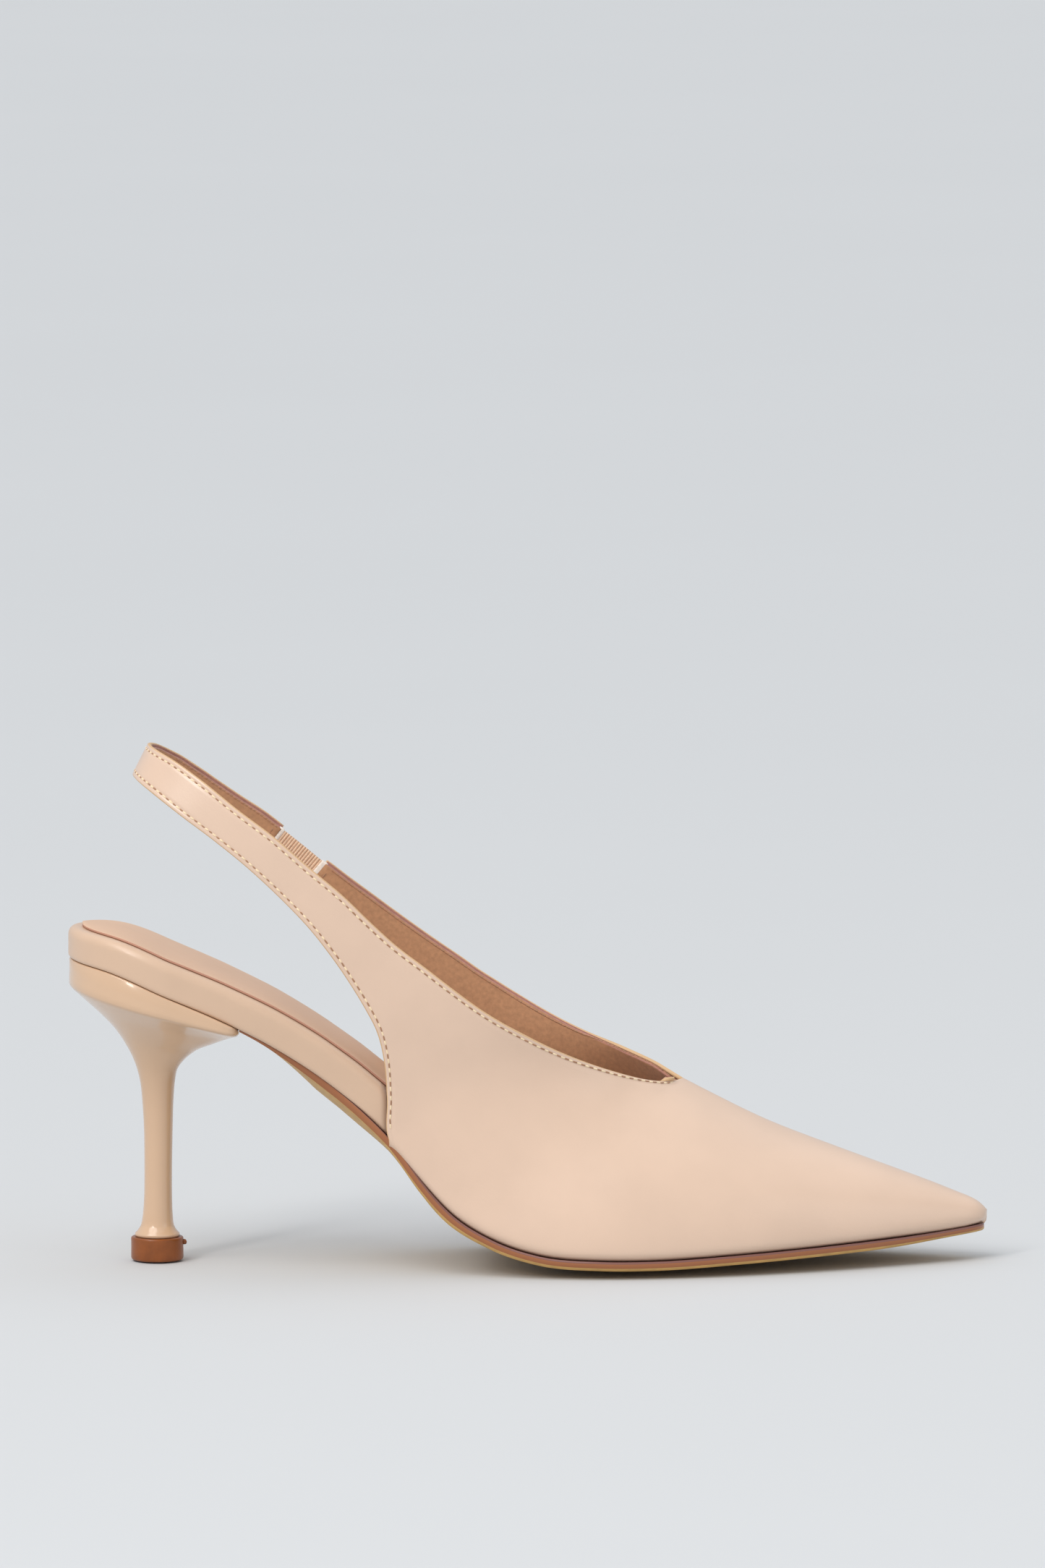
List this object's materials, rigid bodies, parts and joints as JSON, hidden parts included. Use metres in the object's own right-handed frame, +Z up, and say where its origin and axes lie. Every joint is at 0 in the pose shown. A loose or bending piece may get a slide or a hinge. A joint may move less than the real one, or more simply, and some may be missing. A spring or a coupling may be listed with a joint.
{
  "type": "high heel slingback pump",
  "caption": "Right pointed-toe slingback pump with a slim high heel, leather-wrapped footbed, lined upper and a strap with an elastic gore that swings and stretches.",
  "frame": {"origin": "centre of the heel top piece's ground face", "axes": "+X toward the toe, +Y toward the medial side (elastic gore), +Z up"},
  "size_m": [0.2452, 0.0744, 0.1385],
  "materials": {
    "upper_leather": "smooth semi-gloss nude leather",
    "wrap_leather": "smooth nude leather round the footbed edge",
    "sock_leather": "soft padded nude leather",
    "lining": "tan microfibre",
    "heel": "glossy nude moulded plastic",
    "top_piece": "brown moulded rubber",
    "outsole": "brown edge, mustard underside",
    "elastic": "ribbed beige elastic",
    "tape": "woven tape",
    "stiffener": "impregnated fabric",
    "foam": "foam",
    "filler": "felt",
    "board": "fibreboard",
    "steel": "plain steel"
  },
  "bodies": {
    "shoe": {"outsole": "outsole", "heel": "heel", "top_piece": "top_piece", "insole_board": "board", "shank_board": "board", "forefoot_filler": "filler", "footbed_foam": "foam", "footbed_wrap": "wrap_leather", "sock": "sock_leather", "vamp": "upper_leather", "vamp_lining": "lining", "toe_puff": "stiffener", "quarter_bend_lateral": "upper_leather", "quarter_bend_medial": "upper_leather", "shank": "steel", "heel_screw": "steel", "heel_nail_1": "steel", "heel_nail_2": "steel", "heel_nail_3": "steel", "heel_nail_4": "steel", "shank_rivet_rear": "steel", "shank_rivet_front": "steel", "heel_core_tube": "steel", "top_piece_pin": "steel"},
    "strap_base": {"strap_root": "upper_leather", "strap_root_lining": "lining", "quarter_tail": "upper_leather", "quarter_tail_lining": "lining", "elastic_gore": "elastic", "strap_bend": "upper_leather"},
    "strap_loop": {"strap": "upper_leather", "strap_tape": "tape", "strap_lining": "lining"}
  },
  "joints": [
    {"name": "strap_swing", "type": "hinge", "parent": "shoe", "child": "strap_base", "pos_m": [0.0553, 0, 0.086], "axis": [0, 1, 0], "range_deg": [-25, 15], "stiffness_Nm_per_rad": 0.25, "deforming": ["quarter_bend_lateral", "quarter_bend_medial"]},
    {"name": "elastic_stretch", "type": "hinge", "parent": "strap_base", "child": "strap_loop", "pos_m": [0.042, -0.0256, 0.0997], "axis": [0.6428, 0, 0.766], "range_deg": [0, 7], "stiffness_Nm_per_rad": 2.7, "deforming": ["strap_bend", "elastic_gore"]}
  ]
}
